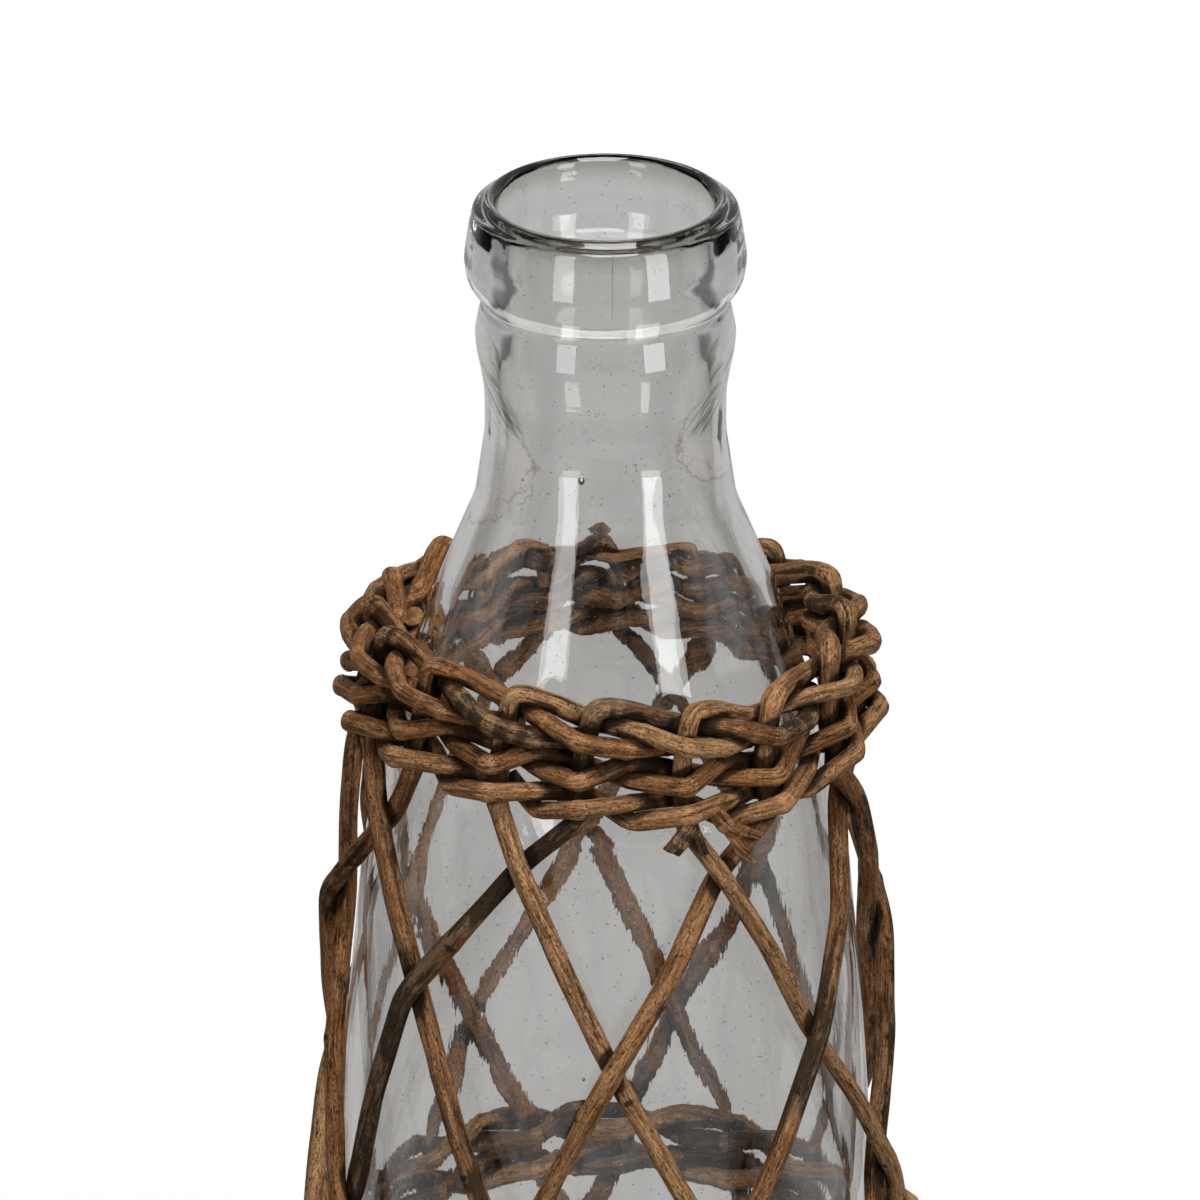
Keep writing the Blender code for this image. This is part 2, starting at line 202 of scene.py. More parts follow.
# A visible piece: its quads, then its triangles, with facts kept at its points. It rides on
# the one body and takes the place of its CAD nodes.
def makePiece(name, points, quads, triangles, material, nodes, facts=None):
    mesh = bpy.data.meshes.new(name)
    corners = np.concatenate([quads.ravel(), triangles.ravel()]).astype(np.int32)
    starts = np.concatenate([np.arange(len(quads)) * 4,
                             4 * len(quads) + np.arange(len(triangles)) * 3])
    mesh.vertices.add(len(points))
    mesh.vertices.foreach_set("co", points.astype(np.float32).ravel())
    mesh.loops.add(len(corners))
    mesh.loops.foreach_set("vertex_index", corners)
    mesh.polygons.add(len(starts))
    mesh.polygons.foreach_set("loop_start", starts.astype(np.int32))
    mesh.update(calc_edges=True)
    mesh.polygons.foreach_set("use_smooth", np.ones(len(starts), bool))
    for label, values in (facts or {}).items():
        flat = values.ndim == 1
        layer = mesh.attributes.new(label, "FLOAT" if flat else "FLOAT_VECTOR", "POINT")
        layer.data.foreach_set("value" if flat else "vector", values.astype(np.float32).ravel())
    mesh.materials.append(material)
    piece = bpy.data.objects.new(name, mesh)
    bpy.context.scene.collection.objects.link(piece)
    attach(piece, "root")
    if nodes:
        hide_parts(*nodes)


# Faces of a grid of rings: neighbours in a ring and in the next ring make a quad
def ringFaces(rings, sides):
    ring = np.arange(rings - 1)[:, None] * sides
    corner = np.arange(sides)[None, :]
    following = (corner + 1) % sides
    quads = np.stack([ring + corner, ring + following,
                      ring + sides + following, ring + sides + corner], -1)
    return quads.reshape(-1, 4)


# Faces of a point that closes a ring
def fanFaces(first, sides, point, outwards):
    corner = first + np.arange(sides)
    following = first + (np.arange(sides) + 1) % sides
    fan = np.stack([corner, following, np.full(sides, point)], -1)
    return fan if outwards else fan[:, ::-1]


# The fans that close the first and the last ring, with their points after the rings' own
def poleFans(rings, sides):
    last = rings * sides
    return np.concatenate([fanFaces(0, sides, last, False),
                           fanFaces(last - sides, sides, last + 1, True)])


# Bottle: depths in metres down from the rim, as turned on the CAD bottle. A share pair is how
# far down a stretch and how far out; a bubble is degrees round from the front, height, size.
bottle = {
    "rimHeight": 0.345, "mouthRadius": 0.0245, "lipRadius": 0.0018,
    "ringRadius": 0.0324, "ringDepth": 0.0245, "grooveRadius": 0.0283,
    "beadRadius": 0.0299, "beadDepth": 0.0325, "neckRadius": 0.0277,
    "neckTopDepth": 0.0490, "neckFootDepth": 0.0575, "bodyRadius": 0.0620, "bodyDepth": 0.2400,
    "neckWall": 0.0043, "bodyWall": 0.0040, "heelRadius": 0.0150, "standRadius": 0.0450,
    "puntHeight": 0.0110,
    "puntShares": ((1, 0), (0.85, 0.25), (0.70, 0.60), (0.35, 0.93), (0, 1)),
    "ringShares": ((0.10, 0.50), (0.30, 0.74), (0.60, 1.00), (0.80, 0.82), (0.93, 0.30)),
    "shoulderShares": ((0.09, 0.07), (0.15, 0.20), (0.21, 0.33), (0.29, 0.47), (0.36, 0.59),
                       (0.44, 0.72), (0.59, 0.84), (0.80, 0.94)),
    "boreDrops": ((0.0040, 0.02452), (0.0110, 0.02450), (0.0143, 0.02440), (0.0168, 0.02380),
                  (0.0195, 0.02330), (0.0230, 0.02300), (0.0290, 0.02292), (0.0400, 0.02325)),
    "sides": 192, "spacing": 0.0004, "rounding": 0.0008, "neckSpacing": 0.0007,
    "bodySpacing": 0.0022, "fineBelowNeck": 0.0080, "lipFadeRings": 12, "poleFade": 0.02,
    "rippleDepth": 0.00014, "outsideShare": 0.25,
    "ripples": (((3, 5, 8, 13), 95, 1.3, 1.0), ((4, 7, 11, 17), 210, 0.4, 1.0),
                ((19, 26, 31), 60, 0.0, 0.35)),
    "bubbles": ((-11.9, 0.2855, 0.00078), (24.0, 0.2790, 0.00030), (-31.0, 0.2705, 0.00026),
                (8.0, 0.2620, 0.00034), (-18.0, 0.2560, 0.00022), (38.0, 0.2655, 0.00028),
                (3.0, 0.2950, 0.00020), (-44.0, 0.2830, 0.00030), (52.0, 0.2480, 0.00036),
                (95.0, 0.2700, 0.00034), (150.0, 0.2600, 0.00030), (205.0, 0.2810, 0.00038),
                (260.0, 0.2450, 0.00032), (-70.0, 0.2380, 0.00036), (130.0, 0.1900, 0.00040),
                (-5.0, 0.1500, 0.00036), (70.0, 0.1300, 0.00030), (-120.0, 0.1700, 0.00040)),
}

# Rods of the basket. Turns are in pitches from one stake to the next, the crossings' rises in
# their own unit, and the collar's rises and the border's places in steps of one stake.
basket = {
    "stakes": 16, "firstDegrees": -27.5, "stakeRadius": 0.0022, "weaverRadius": 0.0021,
    "baseWeaverRadius": 0.0016, "stickRadius": 0.0020, "gap": 0.0003, "slantGap": 0.0006,
    "collarRows": (0.2195, 0.2255), "waistRows": (0.0725, 0.0815), "footRows": (0.0250, 0.0340),
    "crossings": (0.2025, 0.1580, 0.1130, 0.0530), "crossingRise": 0.0450,
    "rightOver": (True, False, True, True),
    "bandTurns": (0.06, -0.04, 0.02, -0.01, 0.10, 0.02, -0.06, 0.05,
                  -0.03, 0.06, -0.08, 0.03, 0.04, -0.05, -0.08, -0.10),
    "crossingTurns": ((-0.13, -0.08, 0.00, 0.08, -0.06, 0.05, 0.07, 0.04),
                      (-0.23, -0.10, 0.02, 0.08, -0.06, 0.10, -0.22, -0.30),
                      (-0.14, -0.15, 0.08, -0.06, 0.04, 0.06, -0.08, -0.14),
                      (0.04, -0.05, 0.03, 0.06, -0.04, 0.05, -0.06, 0.02)),
    "crossingRises": ((0.00, -0.09, 0.02, 0.04, -0.03, 0.02, 0.05, 0.03),
                      (-0.08, -0.04, 0.05, -0.05, 0.06, 0.02, 0.32, 0.17),
                      (-0.20, -0.26, -0.10, -0.04, 0.05, -0.02, 0.06, -0.12),
                      (0.03, -0.02, 0.04, -0.03, 0.02, 0.03, -0.04, 0.02)),
    "collarRises": (0.31, -0.06, -0.50, -0.90, -0.25, 0.20, 0.25, 0.05,
                    -0.20, -0.15, 0.05, 0.20, 0.10, 0.25, 0.50, 0.52),
    "border": ((0.05, -0.08, 1.70), (0.10, -0.12, 2.70), (0.14, -0.14, 3.30), (0.20, -0.24, 3.46),
               (0.36, -0.50, 3.38), (0.50, -0.76, 3.18), (0.62, -0.96, 3.00), (0.80, -1.16, 2.70),
               (1.02, -1.22, 2.42), (1.22, -0.96, 2.40), (1.36, -0.50, 2.46), (1.50, 0.02, 2.52),
               (1.62, 0.34, 2.54), (1.78, 0.70, 2.36), (2.00, 1.08, 2.06), (2.25, 0.92, 1.92),
               (2.45, 0.66, 1.78), (2.60, 0.12, 1.66), (2.95, -1.05, 1.32), (3.12, -1.20, 1.30)),
    "collarOff": 0.0020, "baseCut": 0.0005, "baseDome": 0.0020, "stakeEndRadius": 0.0385,
    "outerRowRadius": 0.0480, "innerRowRadius": 0.0340, "stickFanRadius": 0.0245,
    "heelBend": ((0.60, 0.00), (0.86, 0.12), (0.97, 0.45)), "sticksPerLayer": 4,
    "rowWeavers": 2, "longestBow": 0.05, "sides": 18, "spacing": 0.0007,
}

# Skin of a rod: shares of its radius, lengths along it in metres, and seeds by kind of rod
skin = {
    "extraRadius": 0.00012, "stakeSpread": 0.06, "stakeTurn": 2.4,
    "slow": 0.065, "slowLength": 0.021, "quick": 0.03, "quickLength": 0.006,
    "oval": 0.025, "ovalLength": 0.05, "sharpest": 0.6, "bendFlat": 0.16,
    "lumpLength": 0.0016, "lumpRise": 0.05, "budRise": 0.10, "budWidth": 0.7,
    "scarLength": 0.0009, "knotEnds": (0.06, 0.94), "slants": (0.15, 0.5),
    "capRings": ((0.93, 0.05), (0.80, 0.08), (0.40, 0.07)), "capMiddle": 0.05,
    # Painted shade between rods: how strong it is, and how far past touching it reaches as a
    # share of the rod's width
    "nookStrength": 0.42, "nookReach": 0.3,
    "tightBend": 0.0005, "looseBend": 0.0032, "tightAbove": 0.207, "tightBelow": 0.040,
    "tightFade": 0.006, "weaverBend": 0.00045, "stickBend": 0.0025, "baseWeaverBend": 0.0010,
    "splinterSpacing": 0.0003, "splinterBend": 0.0005,
}
seeds = {
    "bow": 300, "stake": 1000, "band": 2000, "bandStep": 19, "stick": 3000, "layerStep": 40,
    "innerWeaver": 3200, "outerWeaver": 3300, "splinter": 4000, "glass": 5,
}

pitch = 2 * math.pi / basket["stakes"]
stakeStep = 2 * basket["stakeRadius"] + basket["gap"]
weaverStep = 2 * basket["weaverRadius"] + basket["slantGap"]
baseWeaverStep = 2 * basket["baseWeaverRadius"] + basket["slantGap"]
stickStep = 2 * basket["stickRadius"] + basket["gap"]


# Distance of a weaver's kink from the rod it rounds, for straight runs that keep their reach
def kinkOffset(rodRadius, weaverRadius, halfRun):
    reach = rodRadius + weaverRadius + basket["slantGap"]
    return reach * halfRun / math.sqrt(halfRun ** 2 - reach ** 2)


# A place round the bottle: turn in stake pitches, radius, height
def place(turn, radius, height):
    angle = math.radians(basket["firstDegrees"]) + turn * pitch
    return np.array([radius * math.sin(angle), -radius * math.cos(angle), height])


standKink = kinkOffset(basket["stakeRadius"], basket["baseWeaverRadius"],
                       basket["outerRowRadius"] * math.sin(pitch / 2))
stakeLevel = standKink + basket["baseWeaverRadius"] - basket["baseCut"]
stickLevel = stakeLevel + basket["baseDome"]
bottleFoot = stakeLevel + standKink + basket["baseWeaverRadius"] + basket["gap"]
stickReach = (basket["outerRowRadius"] - baseWeaverStep / 2
              - basket["baseWeaverRadius"] - basket["gap"])


# Outside of the bottle from the lip to the middle of the punt, as radius and height
def outerOutline():
    rim = bottle["rimHeight"]
    lipCentre = bottle["mouthRadius"] + bottle["lipRadius"]
    points = []
    for step in range(5):
        angle = math.pi / 2 - step * math.pi / 8
        points.append((lipCentre + bottle["lipRadius"] * math.cos(angle),
                       rim - bottle["lipRadius"] * (1 - math.sin(angle))))
    ringRise = bottle["ringRadius"] - bottle["grooveRadius"]
    for depthShare, swellShare in bottle["ringShares"]:
        points.append((bottle["grooveRadius"] + swellShare * ringRise,
                       rim - depthShare * bottle["ringDepth"]))
    points.append((bottle["grooveRadius"], rim - bottle["ringDepth"]))
    beadRise = bottle["beadRadius"] - bottle["neckRadius"]
    beadDrop = bottle["neckTopDepth"] - bottle["beadDepth"]
    for step in range(7):
        way = step / 6
        points.append((bottle["neckRadius"] + beadRise * (1 + math.cos(math.pi * way)) / 2,
                       rim - bottle["beadDepth"] - way * beadDrop))
    foot = rim - bottle["neckFootDepth"]
    points.append((bottle["neckRadius"], foot))
    drop = bottle["bodyDepth"] - bottle["neckFootDepth"]
    shoulder = bottle["bodyRadius"] - bottle["neckRadius"]
    for dropShare, swellShare in bottle["shoulderShares"]:
        points.append((bottle["neckRadius"] + swellShare * shoulder, foot - dropShare * drop))
    points.append((bottle["bodyRadius"], rim - bottle["bodyDepth"]))
    for step in range(9):
        angle = step * math.pi / 16
        points.append((bottle["bodyRadius"] - bottle["heelRadius"] * (1 - math.cos(angle)),
                       bottleFoot + bottle["heelRadius"] * (1 - math.sin(angle))))
    for outShare, riseShare in bottle["puntShares"]:
        points.append((bottle["standRadius"] * outShare,
                       bottleFoot + bottle["puntHeight"] * riseShare))
    return np.array(points)


# Inside of the bottle from the middle of its floor up to the lip
def innerOutline():
    rim = bottle["rimHeight"]
    floor = bottleFoot + bottle["bodyWall"]
    heel = bottle["heelRadius"] - bottle["bodyWall"]
    body = bottle["bodyRadius"] - bottle["bodyWall"]
    neck = bottle["neckRadius"] - bottle["neckWall"]
    points = []
    for outShare, riseShare in reversed(bottle["puntShares"]):
        points.append((bottle["standRadius"] * outShare,
                       floor + bottle["puntHeight"] * riseShare))
    for step in range(5):
        angle = math.pi / 2 - step * math.pi / 8
        points.append((body - heel * (1 - math.cos(angle)), floor + heel * (1 - math.sin(angle))))
    points.append((body, rim - bottle["bodyDepth"]))
    foot = rim - bottle["neckFootDepth"]
    drop = bottle["bodyDepth"] - bottle["neckFootDepth"]
    for dropShare, swellShare in reversed(bottle["shoulderShares"]):
        points.append((neck + swellShare * (body - neck), foot - dropShare * drop))
    points.append((neck, foot))
    for depth, radius in reversed(bottle["boreDrops"]):
        points.append((radius, rim - depth))
    points.append((bottle["mouthRadius"], rim - bottle["lipRadius"]))
    return np.array(points)


plainOutline = outerOutline()
glassHeights = plainOutline[::-1, 1]
glassRadii = plainOutline[::-1, 0]
standing = int(np.argmax(glassRadii >= bottle["standRadius"]))


# Radius of the glass at a height above its standing ring
def glassRadius(height):
    return float(np.interp(height, glassHeights[standing:], glassRadii[standing:]))


# Radius of the line that the stakes keep in a band: the glass, then one weaver
def stakeLine(height):
    halfRun = (glassRadius(height) + weaverStep + stakeStep) * math.sin(pitch / 2)
    kink = kinkOffset(basket["stakeRadius"], basket["weaverRadius"], halfRun)
    return glassRadius(height) + basket["gap"] + basket["weaverRadius"] + kink


# The lower stake of a crossing lies a gap off the glass, and the upper one a step further out
def crossingRadius(height, over):
    lower = glassRadius(height) + basket["gap"] + basket["stakeRadius"]
    return lower + (stakeStep if over else 0)


def bandTurn(number):
    return number + basket["bandTurns"][number % basket["stakes"]]


# A place in the collar or its border: it rises and falls round the bottle by straight steps
# between the stakes, and follows the glass in and out as it does
def collarPlace(turn, radius, height):
    stakes = np.arange(basket["stakes"] + 1)
    rises = np.array(basket["collarRises"])[stakes % basket["stakes"]]
    rise = float(np.interp(turn % basket["stakes"], stakes, rises)) * stakeStep
    top = basket["collarRows"][-1]
    side = math.sin(math.radians(basket["firstDegrees"]) + turn * pitch)
    off = basket["collarOff"] * max(0, side) ** 4
    return place(turn, radius + off + glassRadius(top + rise) - glassRadius(top), height + rise)


# Turn and height of the crossing of a row that lies nearest to a turn
def crossingPlace(row, turn):
    slot = int(math.floor(turn)) % basket["stakes"] // 2 % len(basket["crossingTurns"][row])
    rise = basket["crossingRises"][row][slot] * basket["crossingRise"]
    return turn + basket["crossingTurns"][row][slot], basket["crossings"][row] + rise


# A stake's centre line from its end under the bottle to its cut end in the border.
# Even stakes lean right on their way down and odd ones left.
def stakePath(number):
    rows = len(basket["crossings"])
    collar, waist, foot = basket["collarRows"], basket["waistRows"], basket["footRows"]
    lean = 1 if number % 2 == 0 else -1
    footTurn = bandTurn(number + lean * rows)
    waistTurn = bandTurn(number + lean * (rows - 1))
    source = np.random.default_rng(seeds["bow"] + number)
    footRadius = stakeLine(foot[0])
    points = [place(footTurn, basket["stakeEndRadius"], stakeLevel)]
    footReach = footRadius - basket["stakeEndRadius"]
    for reachShare, riseShare in basket["heelBend"]:
        points.append(place(footTurn, basket["stakeEndRadius"] + reachShare * footReach,
                            stakeLevel + riseShare * (foot[0] - stakeLevel)))
    for height in foot:
        points.append(place(footTurn, stakeLine(height), height))
    for row in reversed(range(rows)):
        turn, height = crossingPlace(row, number + lean * (row + 0.5))
        over = basket["rightOver"][row] == (lean == 1)
        points.append(place(turn, crossingRadius(height, over), height))
        if row == rows - 1:
            for bandHeight in waist:
                points.append(place(waistTurn, stakeLine(bandHeight), bandHeight))
        elif row > 0:
            nextTurn, nextHeight = crossingPlace(row - 1, number + lean * (row - 0.5))
            middle = (height + nextHeight) / 2
            radius = crossingRadius(middle, False) + stakeStep / 2
            bow = source.uniform(-basket["longestBow"], basket["longestBow"])
            points.append(place((turn + nextTurn) / 2 + bow, radius, middle))
    points.append(collarPlace(bandTurn(number), stakeLine(collar[0]), collar[0] - stakeStep))
    for height in collar:
        points.append(collarPlace(bandTurn(number), stakeLine(height), height))
    line = stakeLine(collar[-1])
    for rightShare, outShare, upShare in basket["border"]:
        whole = math.floor(rightShare)
        start, end = bandTurn(number + whole), bandTurn(number + whole + 1)
        turn = start + (rightShare - whole) * (end - start)
        points.append(collarPlace(turn, line + outShare * stakeStep,
                                  collar[-1] + upShare * stakeStep))
    return np.array(points)


# Turn of a weaver's kink: its first and last stand a gap apart, so that its ends don't meet
def kinkTurn(stakeTurn, step, radius):
    endTurn = basket["gap"] / (radius * pitch)
    ahead = endTurn if step == 0 else 0
    behind = endTurn if step == basket["stakes"] else 0
    return stakeTurn + ahead - behind


# One of the two weavers of a band's row: outside one stake, inside the next, and between
# them the weaver going in lies above the one coming out
def weaverPath(rows, row, strand):
    points = []
    put = collarPlace if rows == basket["collarRows"] else place
    middle = sum(rows) / len(rows)
    levels = [middle + (level - len(rows) + 0.5) * weaverStep for level in range(2 * len(rows))]
    line = stakeLine(rows[row])
    kink = kinkOffset(basket["stakeRadius"], basket["weaverRadius"], line * math.sin(pitch / 2))
    for step in range(basket["stakes"] + 1):
        stake = strand + row + step
        side = 1 if step % 2 else -1
        turn = kinkTurn(bandTurn(stake), step, line)
        points.append(put(turn, line + side * kink, rows[row]))
        if step < basket["stakes"]:
            level = levels[2 * row + (1 if side == 1 else 0)]
            points.append(put((bandTurn(stake) + bandTurn(stake + 1)) / 2, line, level))
    return np.array(points)


# One of the two weavers of a row in the base, under and over its spokes
def baseWeaverPath(radius, level, spokeRadius, spokeTurn, strand):
    points = []
    kink = kinkOffset(spokeRadius, basket["baseWeaverRadius"], radius * math.sin(pitch / 2))
    for step in range(basket["stakes"] + 1):
        spoke = strand + step
        side = 1 if step % 2 == 0 else -1
        turn = kinkTurn(spokeTurn(spoke), step, radius)
        points.append(place(turn, radius, level + side * kink))
        if step < basket["stakes"]:
            middle = (spokeTurn(spoke) + spokeTurn(spoke + 1)) / 2
            points.append(place(middle, radius + side * baseWeaverStep / 2, level))
    return np.array(points)


# A base stick: parallel to its layer in the cross, then fanned to even turns
def stickPath(layer, number):
    quarter = basket["stakes"] / 4
    fan = number - (basket["sticksPerLayer"] - 1) / 2
    across = fan * stickStep
    axis = place(layer * quarter, 1, 0)
    side = place((layer + 1) * quarter, 1, 0)
    reach = basket["sticksPerLayer"] / 2 * stickStep
    level = np.array([0, 0, stickLevel + (layer - 0.5) * stickStep])
    back, front = (layer + 2) * quarter - fan, layer * quarter + fan
    return np.array([place(back, stickReach, stickLevel),
                     place(back, basket["stickFanRadius"], stickLevel),
                     -axis * reach + side * across + level,
                     axis * reach + side * across + level,
                     place(front, basket["stickFanRadius"], stickLevel),
                     place(front, stickReach, stickLevel)])


# How closely each skin point of a rod faces its neighbours: near points of other rods weigh
# by a bell of their distance, and their pull p and spread s give (s(u, u) + p . u) / 2 for
# the outward direction u, so a point between two rods counts as well as one beside one rod
# The result is painted shade: the willow's bark goes towards black by it where rods press
# together
def crowdShade(path, others, around, width):
    gaps = np.sum(path ** 2, 1)[:, None] + np.sum(others ** 2, 1)[None, :] - 2 * path @ others.T
    gaps = np.sqrt(np.maximum(gaps, 1e-8))
    weight = np.exp(-(np.maximum(gaps - width, 0) / (skin["nookReach"] * width)) ** 2)
    single = weight / gaps
    pull = single @ others - single.sum(1)[:, None] * path
    double = weight / gaps ** 2
    pairs = (others[:, :, None] * others[:, None, :]).reshape(-1, 9)
    spread = (double @ pairs).reshape(-1, 3, 3)
    middle = (double @ others)[:, :, None] * path[:, None, :]
    spread = spread - middle - middle.transpose(0, 2, 1)
    spread = spread + double.sum(1)[:, None, None] * path[:, :, None] * path[:, None, :]
    facing = np.einsum("nsi,nij,nsj->ns", around, spread, around)
    facing = facing + np.einsum("nsi,ni->ns", around, pull)
    return np.clip(facing * skin["nookStrength"], 0, 1)


# 1 at a spot along a rod and 0 away from it, by a bell of the distance
def bump(run, spot, length):
    return np.exp(-((run - spot) / length) ** 2)[:, None]


# A rod's skin: path + radius * (cos turn * side + sin turn * lift), where the radius swells
# and shrinks along the rod, flattens in bends and rises at knots; slanted cuts close the ends
def makeRod(name, path, radius, seed, material, slotName="willow", nodes=(), knots=0,
            others=None, flatness=1.0):
    source = np.random.default_rng(seed)
    sides = basket["sides"]
    along, side, lift = carriedFrames(path)
    run = runOf(path)
    angles = np.arange(sides) * 2 * math.pi / sides
    bend = np.gradient(along, run, axis=0)
    bendSide = np.sum(bend * side, 1)
    bendLift = np.sum(bend * lift, 1)
    sharp = np.clip(np.hypot(bendSide, bendLift) * radius, 0, skin["sharpest"])
    facing = np.arctan2(bendLift, bendSide)
    turned = angles[None, :] - facing[:, None]
    size = (1 + skin["slow"] * waver(run, skin["slowLength"], seed)
            + skin["quick"] * waver(run, skin["quickLength"], seed + 1))
    shape = size[:, None] * (1 - skin["bendFlat"] * sharp[:, None] * np.cos(2 * turned))
    twist = 3 * waver(run, skin["ovalLength"], seed + 2)[:, None]
    shape = shape + skin["oval"] * np.cos(2 * angles[None, :] + twist)
    scar = np.zeros((len(path), sides))
    for knot in range(knots):
        spot = source.uniform(*skin["knotEnds"]) * run[-1]
        way = source.uniform(0, 2 * math.pi)
        lump = bump(run, spot, skin["lumpLength"])
        bud = np.exp(-((np.angle(np.exp(1j * (angles - way)))) / skin["budWidth"]) ** 2)[None, :]
        shape = shape + skin["lumpRise"] * lump + skin["budRise"] * lump * bud
        scar = np.maximum(scar, bump(run, spot, skin["scarLength"]) * bud)
    distance = radius * shape
    around = np.cos(angles)[None, :, None] * side[:, None, :] * flatness
    around = around + np.sin(angles)[None, :, None] * lift[:, None, :]
    surface = path[:, None, :] + distance[:, :, None] * around
    # Painted shade where other rods press close to the skin
    nookShade = 0 * distance if others is None else crowdShade(path, others, around, 2 * radius)

    # Each end: rings that shrink towards the middle of a slanted, slightly domed cut
    slants = source.uniform(*skin["slants"], 2)
    ways = source.uniform(0, 2 * math.pi, 2)
    capRings = skin["capRings"]
    caps = []
    for end, slant, way in ((0, slants[0], ways[0]), (-1, slants[1], ways[1])):
        tilt = slant * np.cos(angles - way)[:, None] * along[end][None, :]
        surface[end] = surface[end] + tilt * distance[end][:, None]
        reach = distance[end][:, None] * (around[end] + tilt)
        outward = (-radius if end == 0 else radius) * along[end]
        caps.append(np.stack([path[end] + share * reach + push * outward
                              for share, push in capRings]))
    grid = np.concatenate([caps[0][::-1], surface, caps[1]])
    grid[:, :, 2] = np.maximum(grid[:, :, 2], 0)
    rings = len(grid)
    centre = skin["capMiddle"] * radius
    points = np.concatenate([grid.reshape(-1, 3),
                             [path[0] - centre * along[0]], [path[-1] + centre * along[-1]]])

    # What the bark's pattern reads: each point's place across and along the rod, facts
    # of the skin, and painted shade between rods, each with the one value that it has on the cuts
    deep = len(capRings)
    grain = np.empty((rings, sides, 3))
    grain[:, :, 0] = radius * np.cos(angles)
    grain[:, :, 1] = radius * np.sin(angles)
    grain[:, :, 2] = np.concatenate([run[:1].repeat(deep), run, run[-1:].repeat(deep)])[:, None]
    shares = np.array([share for share, push in capRings])[:, None, None]
    grain[:deep, :, :2] *= shares[::-1]
    grain[-deep:, :, :2] *= shares
    shift = source.uniform(-1, 1, 3)
    ends = np.array([[0, 0, 0], [0, 0, run[-1]]])

    def spread(values, onCuts):
        padded = np.pad(values, ((deep, deep), (0, 0)), constant_values=onCuts)
        return np.concatenate([padded.ravel(), [onCuts, onCuts]])

    facts = {
        "grain": np.concatenate([grain.reshape(-1, 3), ends]) + shift,
        "cut": spread(0 * distance, 1),
        "scar": spread(scar, 0),
        "strain": spread(np.broadcast_to(sharp[:, None], scar.shape), 0),
        "nookShade": spread(nookShade, 0),
        "tone": np.full(len(points), source.uniform(0, 1)),
    }
    quads = ringFaces(rings, sides)
    makePiece(name, points, quads, poleFans(rings, sides), material, nodes, facts)


# Willow with its bark on, dried and oiled: ribs and fibre streaks along the rod, short dark
# ticks and longer smudges, greyer rods among brown ones, a paler rubbed skin where it bends,
# dark bud scars, a pale wood in the cuts, and painted shade near black where rods press together
def willowMaterial(name, light, middle, deep, grey, cutColour):
    material, flow, shader = newMaterial(name)[:3]
    russet = (0.300, 0.118, 0.036, 1)
    black = (0.010, 0.006, 0.003, 1)
    grain = flow.node("ShaderNodeAttribute", {"attribute_name": "grain"}, {}, 1)
    cut, scar, strain, tone, nookShade = (
        flow.node("ShaderNodeAttribute", {"attribute_name": fact}, {}, 2)
        for fact in ("cut", "scar", "strain", "tone", "nookShade"))
    ribs = grain.stretch((950, 950, 75)).noise(1.0, 3.0, 0.6, 0.5)
    fibres = grain.stretch((2300, 2300, 260)).noise(1.0, 3.0, 0.75)
    speckle = grain.stretch((3600, 3600, 1500)).noise(1.0, 2.0, 0.7)
    patches = grain.stretch((260, 260, 110)).noise(1.0, 5.0, 0.65, 0.4)
    clouds = grain.stretch((110, 110, 34)).noise(1.0, 2.0, 0.5)
    ticks = grain.stretch((2300, 2300, 900)).noise(1.0, 2.0, 0.6)
    smudges = grain.stretch((420, 420, 150)).noise(1.0, 5.0, 0.8, 0.5)
    streaks = grain.stretch((620, 620, 52)).noise(1.0, 4.0, 0.7, 0.3)
    rings = grain.stretch((900, 900, 900)).noise(1.0, 2.0, 0.6)
    paler = 0.70 * patches + 0.30 * ribs + 0.40 * (tone - 0.55)
    base = paler.step(0.38, 0.68).mix(middle, light)
    redder = (1 - (tone - 0.72).size()).step(0.72, 0.98) * (0.5 + patches)
    base = (0.55 * redder).mix(base, russet)
    base = (0.50 * (0.36 - tone).step(0.0, 0.30)).mix(base, deep)
    base = (0.60 * (1 - ribs.step(0.32, 0.56))).mix(base, deep)
    base = (0.55 * (1 - fibres.step(0.36, 0.60))).mix(base, deep)
    base = (0.55 * (1 - speckle.step(0.38, 0.56))).mix(base, deep)
    base = (0.75 * (clouds + 0.6 * (0.5 - tone)).step(0.49, 0.70)).mix(base, grey)
    stain = 0.4 * smudges + 0.6 * streaks + 0.7 * (clouds - 0.5) + 0.22 * (0.42 - tone)
    stain = stain.step(0.475, 0.585)
    pits = ticks.step(0.57, 0.65) * (smudges + 0.6 * patches).step(0.68, 0.86)
    base = (0.80 * stain).mix(base, black)
    base = (0.80 * pits).mix(base, black)
    base = (0.85 * scar.step(0.25, 0.7)).mix(base, black)
    worn = strain.step(0.06, 0.35) * (0.4 * ribs + 0.6 * speckle).step(0.44, 0.58)
    base = (0.55 * worn).mix(base, light)
    # Painted shade: the bark goes towards black where other rods crowd it, broken up a little by
    # the smudge and speckle noise
    paintedShade = (nookShade + 0.35 * (smudges - 0.5) + 0.20 * (speckle - 0.5)).step(0.15, 0.85)
    base = (0.88 * paintedShade).mix(base, black)
    darkCut = (*[0.45 * part for part in cutColour[:3]], 1)
    base = cut.mix(base, rings.step(0.35, 0.65).mix(cutColour, darkCut))
    feed(base, shader, "Base Color")
    feed(0.40 + 0.25 * (1 - ribs) + 0.20 * stain, shader, "Roughness")
    relief = 0.50 * ribs + 0.25 * fibres + 0.12 * speckle
    relief = relief - 0.40 * pits - 0.25 * scar + 0.30 * patches
    rough = flow.node("ShaderNodeBump", {},
                      {"Strength": 1.0, "Distance": 0.0006, "Height": relief})
    feed(rough, shader, "Normal")
    shader.inputs["Specular IOR Level"].default_value = 0.06
    return material


